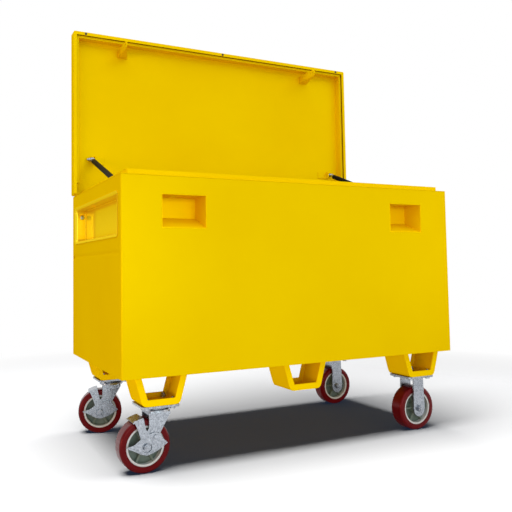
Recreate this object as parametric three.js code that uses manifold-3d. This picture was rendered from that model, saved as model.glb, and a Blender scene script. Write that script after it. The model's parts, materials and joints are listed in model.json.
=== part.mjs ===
// Rolling steel jobsite box with a lid on a piano hinge, in millimetres.
// +Z is up, the front faces -Y, and the origin is on the ground under the middle of the box.

import * as THREE from 'three';
import { mergeVertices } from 'three/addons/utils/BufferGeometryUtils.js';
import Module from 'manifold-3d';

const wasm = await Module();
wasm.setup();

// Body of the box, over its panels
const bodyWidth = 1219;
const bodyDepth = 610;
const bodyHeight = 573;
const sheet = 2;
const floorSheet = 3;
const bendRadius = 5;
const cornerReturn = 14;

// Gap between pieces that are welded or rest on each other, and how far a cut runs past a face
const seam = 0.3;
const overrun = 5;

// Shoulder and raised lip round the opening
const rimInsetFront = 19;
const rimInsetSide = 23;
const rimInsetRear = 24;
const rimLipHeight = 16;
const rimCornerRadius = 8;

// Lock pockets in the front
const pocketWidth = 137;
const pocketHeight = 96;
const pocketDepth = 80;
const pocketFromTop = 55;
const pocketFloorRise = 34;
const pocketFromSide = 192;

// Handle recesses in the sides
const recessHeight = 114;
const recessFromTop = 54;
const recessDepth = 38;
const recessFromFront = 20;
const recessFromRear = 48;
const recessCorner = 12;
const recessBoltFromTop = 25;
const recessBoltFromBack = 14;
const recessBoltRadius = 4;
const recessBoltHeadRadius = 6.5;
const recessBoltHeadHeight = 4;
const recessNutHeight = 6;

// Pressed bead along each side panel
const beadFromTop = 211;
const beadHeight = 22;
const beadDepth = 3;
const beadFlatShare = 0.3;

// Legs, bent from plate with flanges turned in
const legTopWidth = 160;
const legBottomWidth = 112;
const legHeight = 84;
const legDepth = 104;
const legPlate = 5;
const legFlange = 19;
const legBend = 13;
const legSetback = 18;
const legFromSide = 123;

// Piano hinge
const pinRadius = 2.5;
const pinClearance = 0.35;
const hingeLeaf = 2;
const knuckleSpacing = 72;
const knuckleGap = 0.8;
const bodyLeafWidth = 19;
const hingeFromRimEnd = 12;
const leafNotchGap = 0.7;

// Lid pan, over its skin and flanges
const lidDepth = 43;
const lidSideOverhang = 4.7;
const lidFrontOverhang = 4.7;
const lidRearOverhang = 6;
const lidRestGap = 3.5;
const lidLip = 12;
const lidHeel = 17;
const lidRearLip = 16;
const lidCorner = 6;
const lidBend = 3;
const lidSwingClearance = 0.8;

// Rubber bumpers on the lid's front lip
const bumperRadius = 4.5;
const bumperHeight = 3;
const bumperFromSide = 41;

// Locking tongues
const tongueLength = 116;
const tongueWidth = 29;
const tonguePlate = 3;
const tongueRoot = 38;
const tongueFromFront = 37;
const tongueTip = 8;
const tongueHoleRadius = 5.5;
const tongueHoleFromTip = 12;
const tongueSlotClearance = 5;

// Gas struts
const strutFromSide = 68.5;
const strutLowerFromFront = 131;
const strutLowerFromTop = 40;
const strutUpperReach = 121.7;
const strutUpperFromSkin = 20;
const strutTubeRadius = 9.5;
const strutTubeStart = 29;
const strutTubeReach = 300;
const strutRodRadius = 4;
const strutRodInside = 20;
const strutRodClearance = 0.3;
const strutBoreSpare = 8;
const strutEyeRadius = 9;
const strutEyeThickness = 12;
const strutNeck = 18;
const strutBoltRadius = 4;
const strutBoltClearance = 0.5;
const strutBoltHeadRadius = 7;
const strutBoltHeadHeight = 5;
const strutNutHeight = 8;
const strutBoltTail = 5;
const bracketPlate = 3;
const upperBracketHeight = 27;
const upperBracketFoot = 42;
const upperBracketStandoff = 10;
const upperBracketPastBolt = 8;
const lowerBracketWidth = 40;
const lowerBracketDrop = 50;
const lowerBracketRise = 14;

// Casters, all on the same plate and wheel size
const casterHeight = 190.5;
const casterPlateLength = 114.3;
const casterPlateDepth = 101.6;
const casterPlateThickness = 6.35;
const casterPlateCorner = 9;
const casterBoltSpacingX = 76.2;
const casterBoltSpacingY = 76.2;
const casterBoltRadius = 4.75;
const casterBoltClearance = 0.5;
const casterNutFlats = 14.3;
const casterNutHeight = 8;
const casterBoltTail = 7;
const casterHeadHeight = 6;
const swivelLead = 40;
const rearLeftSwivelTurn = -14;
const raceRadius = 42;
const raceTaper = 4;
const raceHeight = 8;
const raceGap = 0.6;
const crownRaceHeight = 6;
const forkPlate = 6;
const forkSideGap = 3.1;
const kingpinRadius = 6;
const kingpinClearance = 0.4;
const kingpinNutFlats = 19;
const kingpinNutHeight = 6;
const forkTopHalfWidth = 32;
const forkEndRadius = 20;
const forkKneeHeight = 53;
const rigidForkWidth = 42;

// Wheels
const wheelRadius = 76.2;
const treadWidth = 50.8;
const treadThickness = 19;
const treadShoulder = 7.5;
const treadSoftShare = 0.3;
const treadSideStep = 2.4;
const hubRimThickness = 6;
const hubWeb = 7;
const hubBossRadius = 18;
const hubBossStandout = 2.4;
const hubRibs = 6;
const hubRibThickness = 7;
const hubRibStepShare = 0.2;
const hubHoleRadius = 9;
const axleRadius = 6.35;
const axleClearance = 0.4;
const axleNutFlats = 19;
const axleNutHeight = 9;
const axleTail = 3;

// Brake levers of the swivel casters
const leverPlate = 3;
const leverStandoff = 1;
const leverHalfSpan = 62;
const leverArmHeight = 80;
const leverPivotX = 27;
const leverPivotZ = 27;
const leverPivotRadius = 4;
const leverPivotClearance = 0.5;
const leverPivotHeadRadius = 7;
const leverPivotHeadHeight = 3;
const leverAxleHoleRadius = 15;
const shoeClearance = 3.5;
const shoeThickness = 4;
const shoeStartDegrees = 97;
const shoeEndDegrees = 120;
const shoeShortOfEdge = 4;

// How finely round pieces are faceted
const sidesHidden = 6;
const sidesSmall = 8;
const sidesMedium = 12;
const sidesWheel = 20;
const sidesRace = 16;
const arcSteps = 3;
const mergeTolerance = 0.0001;

// Places that follow from the sizes above
const halfWidth = bodyWidth / 2;
const frontY = -(bodyDepth + lidRearOverhang) / 2;
const rearY = frontY + bodyDepth;
const bodyBase = casterHeight + legHeight;
const shoulderZ = bodyBase + bodyHeight;
const knuckleRadius = pinRadius + hingeLeaf;
const hingeY = rearY - rimInsetRear + seam + knuckleRadius;
const lidSkinTop = rearY + lidRearOverhang - hingeY;
const hingeZ = shoulderZ + lidRestGap + lidDepth - lidSkinTop;
const lidHalfWidth = halfWidth + lidSideOverhang;
const lidFront = frontY - lidFrontOverhang - hingeY;
const lidLipBottom = lidSkinTop - lidDepth;
const strutX = halfWidth - strutFromSide;
const strutLowerY = frontY + strutLowerFromFront;
const strutLowerZ = shoulderZ - strutLowerFromTop;
const strutUpperY = hingeY + lidSkinTop - strutUpperFromSkin;
const strutUpperZ = hingeZ + strutUpperReach;
const axleDrop = casterHeight - wheelRadius;
const forkInner = treadWidth / 2 + forkSideGap;
const forkOuter = forkInner + forkPlate;

// Paints and metals
const yellowPaint = { color: 0xf0cc00, roughness: 0.35, metalness: 0 };
const zincPlate = { color: 0xc4c8cc, roughness: 0.35, metalness: 0.9 };
const castHub = { color: 0xa9b3ad, roughness: 0.5, metalness: 0.6 };
const maroonTread = { color: 0x6e0c14, roughness: 0.4, metalness: 0 };
const blackSteel = { color: 0x111112, roughness: 0.3, metalness: 0.2 };
const blackRubber = { color: 0x0c0c0c, roughness: 0.8, metalness: 0 };

// Reads a closed geometry as a solid that can be cut and joined
function solidOf(geometry) {
  const bare = geometry.index ? geometry.toNonIndexed() : geometry.clone();
  bare.deleteAttribute('normal');
  bare.deleteAttribute('uv');
  const merged = mergeVertices(bare, mergeTolerance);
  const corners = merged.index.array;
  const kept = [];
  for (let i = 0; i < corners.length; i += 3) {
    const [a, b, c] = [corners[i], corners[i + 1], corners[i + 2]];
    if (a !== b && b !== c && a !== c) kept.push(a, b, c);
  }
  const vertProperties = new Float32Array(merged.attributes.position.array);
  const triVerts = new Uint32Array(kept);
  return new wasm.Manifold(new wasm.Mesh({ numProp: 3, vertProperties, triVerts }));
}

// Gives a cut or joined solid back as a geometry
function geometryOf(solid) {
  const mesh = solid.getMesh();
  const geometry = new THREE.BufferGeometry();
  geometry.setAttribute('position', new THREE.BufferAttribute(new Float32Array(mesh.vertProperties), 3));
  geometry.setIndex(new THREE.BufferAttribute(new Uint32Array(mesh.triVerts), 1));
  return geometry;
}

function joined(solids) {
  return solids.reduce((sum, solid) => sum.add(solid));
}

function block(x0, x1, y0, y1, z0, z1) {
  const geometry = new THREE.BoxGeometry(x1 - x0, y1 - y0, z1 - z0);
  geometry.translate((x0 + x1) / 2, (y0 + y1) / 2, (z0 + z1) / 2);
  return solidOf(geometry);
}

function extruded(shape, length) {
  return new THREE.ExtrudeGeometry(shape, { depth: length, bevelEnabled: false, curveSegments: arcSteps });
}

// A plan outline in X and Y, raised from z0 to z1
function raised(shape, z0, z1) {
  return solidOf(extruded(shape, z1 - z0).translate(0, 0, z0));
}

// A side outline in Y and Z, run from x0 to x1
function runAlongX(shape, x0, x1) {
  const axes = new THREE.Matrix4().makeBasis(
    new THREE.Vector3(0, 1, 0), new THREE.Vector3(0, 0, 1), new THREE.Vector3(1, 0, 0));
  return solidOf(extruded(shape, x1 - x0).applyMatrix4(axes).translate(x0, 0, 0));
}

// A front outline in X and Z, run from y0 to y1
function runAlongY(shape, y0, y1) {
  const axes = new THREE.Matrix4().makeBasis(
    new THREE.Vector3(1, 0, 0), new THREE.Vector3(0, 0, 1), new THREE.Vector3(0, -1, 0));
  return solidOf(extruded(shape, y1 - y0).applyMatrix4(axes).translate(0, y1, 0));
}

// Round bars along each axis, starting at the given point
function barAlongX(radius, x0, x1, y, z, sides) {
  const geometry = new THREE.CylinderGeometry(radius, radius, x1 - x0, sides);
  return solidOf(geometry.rotateZ(Math.PI / 2).translate((x0 + x1) / 2, y, z));
}

function barAlongY(radius, y0, y1, x, z, sides) {
  const geometry = new THREE.CylinderGeometry(radius, radius, y1 - y0, sides);
  return solidOf(geometry.translate(x, (y0 + y1) / 2, z));
}

function barAlongZ(radius, z0, z1, x, y, sides) {
  const geometry = new THREE.CylinderGeometry(radius, radius, z1 - z0, sides);
  return solidOf(geometry.rotateX(Math.PI / 2).translate(x, y, (z0 + z1) / 2));
}

// A profile of radius and height pairs, turned about the Z axis
function turned(profile, sides) {
  const points = profile.map(([radius, height]) => new THREE.Vector2(radius, height));
  return solidOf(new THREE.LatheGeometry(points, sides).rotateX(Math.PI / 2));
}

// The same profile turned about the Y axis
function turnedAboutY(profile, sides) {
  const points = profile.map(([radius, height]) => new THREE.Vector2(radius, height));
  return solidOf(new THREE.LatheGeometry(points, sides));
}

// Corner radius of a hexagon with the given distance across its flats
function hexRadius(flats) {
  return flats / Math.sqrt(3);
}

function roundedRectangle(x0, x1, y0, y1, radius) {
  const shape = new THREE.Shape();
  shape.moveTo(x0 + radius, y0);
  shape.lineTo(x1 - radius, y0);
  shape.absarc(x1 - radius, y0 + radius, radius, -Math.PI / 2, 0, false);
  shape.lineTo(x1, y1 - radius);
  shape.absarc(x1 - radius, y1 - radius, radius, 0, Math.PI / 2, false);
  shape.lineTo(x0 + radius, y1);
  shape.absarc(x0 + radius, y1 - radius, radius, Math.PI / 2, Math.PI, false);
  shape.lineTo(x0, y0 + radius);
  shape.absarc(x0 + radius, y0 + radius, radius, Math.PI, Math.PI * 1.5, false);
  return shape;
}

function outline(points) {
  return new THREE.Shape(points.map(([a, b]) => new THREE.Vector2(a, b)));
}

// The other-handed copy of a geometry, across the YZ plane
function mirrored(geometry) {
  const copy = geometry.clone().scale(-1, 1, 1);
  const corners = copy.index.array;
  for (let i = 0; i < corners.length; i += 3) {
    const first = corners[i];
    corners[i] = corners[i + 1];
    corners[i + 1] = first;
  }
  return copy;
}

const box = new THREE.Group();

function place(group, name, geometry, finish) {
  const mesh = new THREE.Mesh(geometry, new THREE.MeshStandardMaterial(finish));
  mesh.name = name;
  group.add(mesh);
  return mesh;
}

// Front or rear sheet in plan, with both ends bent round the corners
function wrapPanel() {
  const left = -halfWidth;
  const right = halfWidth;
  const inner = bendRadius - sheet;
  const shape = new THREE.Shape();
  shape.moveTo(left, cornerReturn);
  shape.lineTo(left, bendRadius);
  shape.absarc(left + bendRadius, bendRadius, bendRadius, Math.PI, Math.PI * 1.5, false);
  shape.lineTo(right - bendRadius, 0);
  shape.absarc(right - bendRadius, bendRadius, bendRadius, -Math.PI / 2, 0, false);
  shape.lineTo(right, cornerReturn);
  shape.lineTo(right - sheet, cornerReturn);
  shape.lineTo(right - sheet, bendRadius);
  shape.absarc(right - bendRadius, bendRadius, inner, 0, -Math.PI / 2, true);
  shape.lineTo(left + bendRadius, sheet);
  shape.absarc(left + bendRadius, bendRadius, inner, Math.PI * 1.5, Math.PI, true);
  shape.lineTo(left + sheet, cornerReturn);
  return raised(shape, bodyBase, shoulderZ - sheet - seam);
}

const pocketCentres = [-halfWidth + pocketFromSide, halfWidth - pocketFromSide];
const pocketTopZ = shoulderZ - pocketFromTop;
const pocketFloorZ = pocketTopZ - pocketHeight;

// The window in the front that one lock pocket is welded into
function pocketWindow(centre) {
  const half = pocketWidth / 2 + sheet + seam;
  const low = pocketFloorZ - pocketFloorWall() - seam;
  return block(centre - half, centre + half, -overrun, sheet + overrun, low, pocketTopZ + sheet + seam);
}

// Height of the sloping floor's wall, measured straight up
function pocketFloorWall() {
  return sheet * Math.hypot(pocketDepth, pocketFloorRise) / pocketDepth;
}

function frontPanel() {
  const cut = pocketCentres.reduce((panel, centre) => panel.subtract(pocketWindow(centre)), wrapPanel());
  return geometryOf(cut).translate(0, frontY, 0);
}

function rearPanel() {
  return geometryOf(wrapPanel()).rotateZ(Math.PI).translate(0, rearY, 0);
}

const recessY0 = frontY + recessFromFront;
const recessY1 = rearY - recessFromRear;
const recessZ1 = shoulderZ - recessFromTop;
const recessZ0 = recessZ1 - recessHeight;

// Left side sheet with its bead pressed inwards and the recess window cut out
function sidePanel() {
  const outer = -halfWidth;
  const inner = outer + sheet;
  const beadTop = shoulderZ - beadFromTop;
  const beadZ = beadTop - beadHeight;
  const ramp = beadHeight * (1 - beadFlatShare) / 2;
  const top = shoulderZ - sheet - seam;
  const profile = outline([
    [outer, bodyBase], [inner, bodyBase],
    [inner, beadZ], [inner + beadDepth, beadZ + ramp], [inner + beadDepth, beadTop - ramp], [inner, beadTop],
    [inner, top], [outer, top],
    [outer, beadTop], [outer + beadDepth, beadTop - ramp], [outer + beadDepth, beadZ + ramp], [outer, beadZ],
  ]);
  const wall = runAlongY(profile, frontY + cornerReturn + seam, rearY - cornerReturn - seam);
  const corner = recessCorner + sheet + seam;
  const edge = sheet + seam;
  const window = roundedRectangle(recessY0 - edge, recessY1 + edge, recessZ0 - edge, recessZ1 + edge, corner);
  return geometryOf(wall.subtract(runAlongX(window, outer - overrun, inner + overrun)));
}

const recessBackX = -halfWidth + recessDepth;
const recessBoltX = recessBackX - recessBoltFromBack;
const recessBoltZ = recessZ1 - recessBoltFromTop;

// Pan welded behind the side window, with a bolt hole in its rear end wall
function handleRecess() {
  const corner = recessCorner + sheet;
  const shell = roundedRectangle(
    recessY0 - sheet, recessY1 + sheet, recessZ0 - sheet, recessZ1 + sheet, corner);
  const hollow = roundedRectangle(recessY0, recessY1, recessZ0, recessZ1, recessCorner);
  const pan = runAlongX(shell, -halfWidth, recessBackX + sheet)
    .subtract(runAlongX(hollow, -halfWidth - overrun, recessBackX))
    .subtract(barAlongY(recessBoltRadius + seam, recessY1 - overrun, recessY1 + sheet + overrun,
      recessBoltX, recessBoltZ, sidesSmall));
  return geometryOf(pan);
}

// Round-headed bolt and its nut in the recess end wall
function recessBolt() {
  const head = barAlongY(recessBoltHeadRadius, recessY1 - seam - recessBoltHeadHeight, recessY1 - seam,
    recessBoltX, recessBoltZ, sidesMedium);
  const nutY = recessY1 + sheet + seam;
  const nut = barAlongY(recessBoltHeadRadius, nutY, nutY + recessNutHeight, recessBoltX, recessBoltZ, 6);
  const shank = barAlongY(recessBoltRadius, recessY1 - recessBoltHeadHeight, nutY + recessNutHeight / 2,
    recessBoltX, recessBoltZ, sidesSmall);
  return geometryOf(joined([head, nut, shank]));
}

// Box behind a front window, with a sloping floor and a slot in its top for the locking tongue
function lockPocket(centre) {
  const half = pocketWidth / 2;
  const slope = pocketFloorRise / pocketDepth;
  const wall = pocketFloorWall();
  const shell = outline([
    [0, pocketFloorZ - wall],
    [pocketDepth + sheet, pocketFloorZ - wall + slope * (pocketDepth + sheet)],
    [pocketDepth + sheet, pocketTopZ + sheet],
    [0, pocketTopZ + sheet],
  ]);
  const hollow = outline([
    [-overrun, pocketFloorZ - slope * overrun],
    [pocketDepth, pocketFloorZ + pocketFloorRise],
    [pocketDepth, pocketTopZ],
    [-overrun, pocketTopZ],
  ]);
  const slotY0 = tongueFromFront - lidFrontOverhang - tongueSlotClearance;
  const slotY1 = tongueFromFront - lidFrontOverhang + tongueWidth + tongueSlotClearance;
  const slotX0 = centre + tongueLeftEdge - tongueSlotClearance;
  const slotX1 = centre + tongueLeftEdge + tonguePlate + tongueSlotClearance * 2;
  const pocket = runAlongX(shell, centre - half - sheet, centre + half + sheet)
    .subtract(runAlongX(hollow, centre - half, centre + half))
    .subtract(block(slotX0, slotX1, slotY0, slotY1, pocketTopZ - overrun, pocketTopZ + sheet + overrun));
  return geometryOf(pocket).translate(0, frontY, 0);
}

function floorPanel() {
  const edge = sheet + seam;
  const shape = roundedRectangle(
    -halfWidth + edge, halfWidth - edge, frontY + edge, rearY - edge, bendRadius);
  return geometryOf(raised(shape, bodyBase, bodyBase + floorSheet));
}

// Shoulder plate with the raised lip standing on its inner edge
function openingRim() {
  const outer = roundedRectangle(-halfWidth, halfWidth, frontY, rearY, bendRadius);
  const x = halfWidth - rimInsetSide;
  const y0 = frontY + rimInsetFront;
  const y1 = rearY - rimInsetRear;
  const lipOuter = roundedRectangle(-x, x, y0, y1, rimCornerRadius);
  const lipInner = roundedRectangle(
    -x + sheet, x - sheet, y0 + sheet, y1 - sheet, rimCornerRadius - sheet);
  const top = shoulderZ + rimLipHeight;
  const ring = raised(outer, shoulderZ - sheet, shoulderZ)
    .add(raised(lipOuter, shoulderZ - sheet, top))
    .subtract(raised(lipInner, shoulderZ - sheet - overrun, top + overrun));
  return geometryOf(ring);
}

// Leg outline seen from the front, bent round below, drawn in by the given thickness and open at the top
function legOutline(inset, above) {
  const taper = (legTopWidth - legBottomWidth) / 2 / legHeight;
  const side = inset * Math.hypot(1, taper);
  const half = (z) => legBottomWidth / 2 + taper * z - side;
  const low = inset;
  const high = legHeight + above;
  const bend = Math.max(legBend - inset, 0);
  const shape = new THREE.Shape();
  shape.moveTo(-half(high), high);
  shape.lineTo(-half(low + bend), low + bend);
  shape.quadraticCurveTo(-half(low), low, -half(low) + bend, low);
  shape.lineTo(half(low) - bend, low);
  shape.quadraticCurveTo(half(low), low, half(low + bend), low + bend);
  shape.lineTo(half(high), high);
  return shape;
}

const legCentres = [-halfWidth + legFromSide, 0, halfWidth - legFromSide];
const legRowY = [frontY + legSetback + legDepth / 2, rearY - legSetback - legDepth / 2];

// Bent leg: a web all round with a flange turned in at the front and the rear
function leg(drilled) {
  const half = legDepth / 2;
  let body = runAlongY(legOutline(0, -seam), -half, half)
    .subtract(runAlongY(legOutline(legPlate, overrun), -half + legPlate, half - legPlate))
    .subtract(runAlongY(legOutline(legFlange, overrun), -half - overrun, half + overrun));
  if (drilled) body = body.subtract(casterHoles(-overrun, legPlate + overrun));
  return geometryOf(body);
}

function casterHoles(z0, z1) {
  const radius = casterBoltRadius + casterBoltClearance;
  const holes = [];
  for (const x of [-casterBoltSpacingX / 2, casterBoltSpacingX / 2]) {
    for (const y of [-casterBoltSpacingY / 2, casterBoltSpacingY / 2]) {
      holes.push(barAlongZ(radius, z0, z1, x, y, sidesHidden));
    }
  }
  return joined(holes);
}

// Four bolts through a caster plate and its leg, heads below and nuts above
function casterBolts() {
  const plateBottom = -casterPlateThickness;
  const webTop = seam * 2 + legPlate;
  const hex = hexRadius(casterNutFlats);
  const bolts = [];
  for (const x of [-casterBoltSpacingX / 2, casterBoltSpacingX / 2]) {
    for (const y of [-casterBoltSpacingY / 2, casterBoltSpacingY / 2]) {
      bolts.push(barAlongZ(hex, plateBottom - casterHeadHeight, plateBottom + seam, x, y, 6));
      bolts.push(barAlongZ(hex, webTop, webTop + casterNutHeight, x, y, 6));
      bolts.push(barAlongZ(casterBoltRadius, plateBottom, webTop + casterNutHeight + casterBoltTail, x, y, sidesHidden));
    }
  }
  return joined(bolts);
}

// Piano hinge, drawn about its own pin with both leaves lying towards +Y and the plate on top
const hingeHalf = halfWidth - rimInsetSide - hingeFromRimEnd;
const knuckleCount = 2 * Math.round(hingeHalf / knuckleSpacing) + 1;
const knucklePitch = 2 * hingeHalf / knuckleCount;

function hingeLeafPart(width, first) {
  const notch = knuckleRadius + leafNotchGap;
  const parts = [block(-hingeHalf, hingeHalf, notch, width, pinRadius, knuckleRadius)];
  for (let i = first; i < knuckleCount; i += 2) {
    const x0 = -hingeHalf + i * knucklePitch + knuckleGap / 2;
    const x1 = x0 + knucklePitch - knuckleGap;
    parts.push(barAlongX(knuckleRadius, x0, x1, 0, 0, sidesSmall));
    parts.push(block(x0, x1, 0, notch + seam, pinRadius, knuckleRadius));
  }
  const bore = barAlongX(pinRadius + pinClearance, -hingeHalf - overrun, hingeHalf + overrun, 0, 0, sidesSmall);
  return geometryOf(joined(parts).subtract(bore));
}

function hingePin() {
  return geometryOf(barAlongX(pinRadius, -hingeHalf, hingeHalf, 0, 0, sidesSmall));
}

// Lid pan in its closed position about the hinge pin: skin on top, flanges down, lips turned in
function lidPan() {
  const bend = { depth: lidDepth, bevelEnabled: true, bevelThickness: lidBend, bevelSize: lidBend,
    bevelOffset: -lidBend, bevelSegments: 2, curveSegments: arcSteps };
  const footprint = roundedRectangle(-lidHalfWidth, lidHalfWidth, lidFront, lidHeel, lidCorner);
  const blank = new THREE.ExtrudeGeometry(footprint, bend).translate(0, 0, lidSkinTop - lidDepth - lidBend);
  const rearLipBottom = knuckleRadius + seam;
  const inner = lidHalfWidth - sheet;
  const lipInner = lidHalfWidth - lidLip;
  const lipTop = lidLipBottom + sheet;
  const hollow = roundedRectangle(
    -inner, inner, lidFront + sheet, lidHeel - sheet, lidCorner - sheet);
  const swing = hingeZ - shoulderZ - lidSwingClearance;
  const belowLip = lidLipBottom - overrun - lidBend * 2;
  const swingCut = block(-lidHalfWidth - overrun, lidHalfWidth + overrun, 0, lidHeel + overrun,
    belowLip, 0)
    .subtract(barAlongX(swing, -lidHalfWidth - overrun * 2, lidHalfWidth + overrun * 2, 0, 0, sidesRace * 2));
  const pan = solidOf(blank)
    .subtract(raised(hollow, lipTop, lidSkinTop - sheet))
    .subtract(block(-lipInner, lipInner, lidFront + lidLip, lidHeel + overrun, belowLip, lipTop + overrun))
    .subtract(block(-lidHalfWidth - overrun, lidHalfWidth + overrun,
      lidFront - overrun, lidHeel + overrun, belowLip, lidLipBottom))
    .subtract(block(-inner, inner, lidHeel - sheet - overrun, lidHeel + overrun, belowLip, rearLipBottom))
    .subtract(swingCut)
    .add(block(-inner - sheet / 2, inner + sheet / 2, lidHeel - lidRearLip, lidHeel - sheet / 2,
      rearLipBottom, rearLipBottom + sheet));
  return geometryOf(pan);
}

// Rubber dome on the underside of the front lip
function lidBumper(x) {
  const dome = turned([
    [0, -bumperHeight], [bumperRadius / 2, -bumperHeight], [bumperRadius, -bumperHeight / 2],
    [bumperRadius, 0], [0, 0]], sidesSmall);
  return geometryOf(dome).translate(x, lidFront + lidLip / 2, lidLipBottom - seam);
}

// Left edge of a tongue, measured from the middle of its pocket
const tongueLeftEdge = -(tongueRoot - tonguePlate) / 2;

// Tongue that drops into the pocket: a drilled plate with a tapering web bent along its rear edge
function lockTongue(centre) {
  const top = lidSkinTop - sheet - seam;
  const tip = top - tongueLength;
  const x0 = centre + tongueLeftEdge;
  const y0 = lidFront + tongueFromFront;
  const y1 = y0 + tongueWidth;
  const plate = outline([
    [y0, top], [y0, tip + tongueTip], [y0 + tongueTip, tip], [y1 - tongueTip, tip], [y1, tip + tongueTip],
    [y1, top]]);
  const web = outline([[x0, top], [x0, tip + tongueTip], [x0 + tonguePlate, tip + tongueTip],
    [x0 + tongueRoot, top]]);
  const holeZ = tip + tongueHoleFromTip;
  const tongue = runAlongX(plate, x0, x0 + tonguePlate)
    .add(runAlongY(web, y1 - tonguePlate, y1))
    .subtract(barAlongX(tongueHoleRadius, x0 - overrun, x0 + tonguePlate * 2, (y0 + y1) / 2, holeZ,
      sidesMedium));
  return geometryOf(tongue);
}

const strutEarX = strutX - upperBracketStandoff;
const strutUpperLocalY = -strutUpperReach;
const strutUpperLocalZ = lidSkinTop - strutUpperFromSkin;

// Angle bracket on the inside of the lid, right-handed, in the lid's closed position
function strutUpperBracket() {
  const skin = lidSkinTop - sheet - seam;
  const half = upperBracketHeight / 2;
  const low = strutUpperLocalZ - upperBracketPastBolt;
  const y0 = strutUpperLocalY - half;
  const y1 = strutUpperLocalY + half;
  const foot = block(strutEarX - upperBracketFoot, strutEarX, y0, y1, skin - bracketPlate, skin);
  const ear = block(strutEarX - bracketPlate, strutEarX, y0, y1, low, skin);
  return geometryOf(foot.add(ear));
}

// Plate on the back of the right recess pan with the strut's lower stud
function strutLowerBracket() {
  const x0 = halfWidth - recessDepth - sheet - seam;
  const half = lowerBracketWidth / 2;
  const low = strutLowerZ - lowerBracketDrop;
  const high = strutLowerZ + lowerBracketRise;
  const plate = roundedRectangle(strutLowerY - half, strutLowerY + half, low, high, half / 2);
  const headX = strutX - strutEyeThickness / 2 - seam;
  const stud = barAlongX(strutBoltRadius, headX - strutBoltHeadHeight / 2, x0 - bracketPlate / 2,
    strutLowerY, strutLowerZ, sidesSmall);
  const shoulderX = strutX + strutEyeThickness / 2 + seam;
  const shoulder = barAlongX(strutBoltHeadRadius, shoulderX, x0 - bracketPlate / 2, strutLowerY, strutLowerZ,
    sidesSmall);
  const head = barAlongX(strutBoltHeadRadius, headX - strutBoltHeadHeight, headX, strutLowerY, strutLowerZ,
    sidesSmall);
  return geometryOf(joined([runAlongX(plate, x0 - bracketPlate, x0), stud, shoulder, head]));
}

// Length and slope of a strut with the lid open, and its length with the lid closed
const strutOpenLength = Math.hypot(strutUpperY - strutLowerY, strutUpperZ - strutLowerZ);
const strutClosedLength = Math.hypot(
  hingeY + strutUpperLocalY - strutLowerY, hingeZ + strutUpperLocalZ - strutLowerZ);
const strutSlope = Math.atan2(strutUpperZ - strutLowerZ, strutUpperY - strutLowerY);
const strutStroke = strutOpenLength - strutClosedLength;

// Gas strut cylinder hanging from its upper eye at the origin, its bore open at the lower end
function strutTube() {
  const bore = strutRodRadius + strutRodClearance;
  const top = -strutTubeStart;
  const low = -strutTubeReach;
  const roof = low + strutRodInside + strutStroke + strutBoreSpare;
  const tube = turned([
    [0, roof], [bore, roof], [bore, low], [strutTubeRadius, low], [strutTubeRadius, top], [0, top],
  ], sidesMedium);
  const eye = geometryOf(strutEye(strutTubeStart + seam)).rotateX(Math.PI);
  return geometryOf(tube.add(solidOf(eye)));
}

// Flat eye at the origin with a neck running to the given height
function strutEye(neck) {
  const half = strutEyeThickness / 2;
  return barAlongX(strutEyeRadius, -half, half, 0, 0, sidesMedium)
    .add(block(-half, half, -strutEyeRadius / 2, strutEyeRadius / 2, 0, neck))
    .subtract(barAlongX(strutBoltRadius + strutBoltClearance, -half - overrun, half + overrun, 0, 0,
      sidesSmall));
}

// Piston rod rising from its lower eye at the origin into the cylinder
function strutRod() {
  const end = strutOpenLength - strutTubeReach + strutRodInside;
  return geometryOf(barAlongZ(strutRodRadius, strutEyeRadius, end, 0, 0, sidesMedium).add(strutEye(strutNeck)));
}

// Bolt through the upper eye, right-handed, its shoulder ending at the lid bracket's ear
function strutBolt() {
  const half = strutEyeThickness / 2 + seam;
  const inner = -upperBracketStandoff + seam;
  const nut = barAlongX(strutBoltHeadRadius, half, half + strutNutHeight, 0, 0, 6);
  const shoulder = barAlongX(strutBoltHeadRadius, inner, -half, 0, 0, sidesMedium);
  const shank = barAlongX(strutBoltRadius, inner, half + strutNutHeight + strutBoltTail, 0, 0, sidesSmall);
  return geometryOf(joined([nut, shoulder, shank]));
}

// Caster top plate hanging below z = 0, with its four bolts
function casterPlate() {
  const x = casterPlateLength / 2;
  const y = casterPlateDepth / 2;
  const plate = roundedRectangle(-x, x, -y, y, casterPlateCorner);
  return raised(plate, -casterPlateThickness, 0).add(casterBolts());
}

const raceTop = -casterPlateThickness;
const raceBottom = raceTop - raceHeight;
const crownTop = raceBottom - raceGap;
const crownPlateTop = crownTop - crownRaceHeight;
const crownBottom = crownPlateTop - forkPlate;

// Swivel top plate with the upper race, kingpin and kingpin nut
function swivelPlate() {
  const nutTop = crownBottom - seam * 2;
  const race = turned([[0, raceBottom], [raceRadius - raceTaper, raceBottom], [raceRadius, raceTop + seam],
    [0, raceTop + seam]], sidesRace);
  const pin = barAlongZ(kingpinRadius, nutTop - kingpinNutHeight / 2, raceBottom + seam, 0, 0, sidesSmall);
  const nut = barAlongZ(hexRadius(kingpinNutFlats), nutTop - kingpinNutHeight, nutTop, 0, 0, 6);
  return geometryOf(joined([casterPlate(), race, pin, nut]));
}

// One side of a swivel fork seen from the front, trailing back to the axle
function swivelForkSide() {
  const shape = new THREE.Shape();
  const axleX = -swivelLead;
  const knee = -axleDrop + forkKneeHeight;
  shape.moveTo(-forkTopHalfWidth, crownPlateTop);
  shape.lineTo(-forkTopHalfWidth, knee);
  shape.lineTo(axleX - forkEndRadius, -axleDrop + forkEndRadius / 2);
  shape.lineTo(axleX - forkEndRadius, -axleDrop);
  shape.absarc(axleX, -axleDrop, forkEndRadius, Math.PI, Math.PI * 2, false);
  shape.lineTo(forkTopHalfWidth, crownBottom);
  shape.lineTo(forkTopHalfWidth, crownPlateTop);
  return shape;
}

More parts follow.
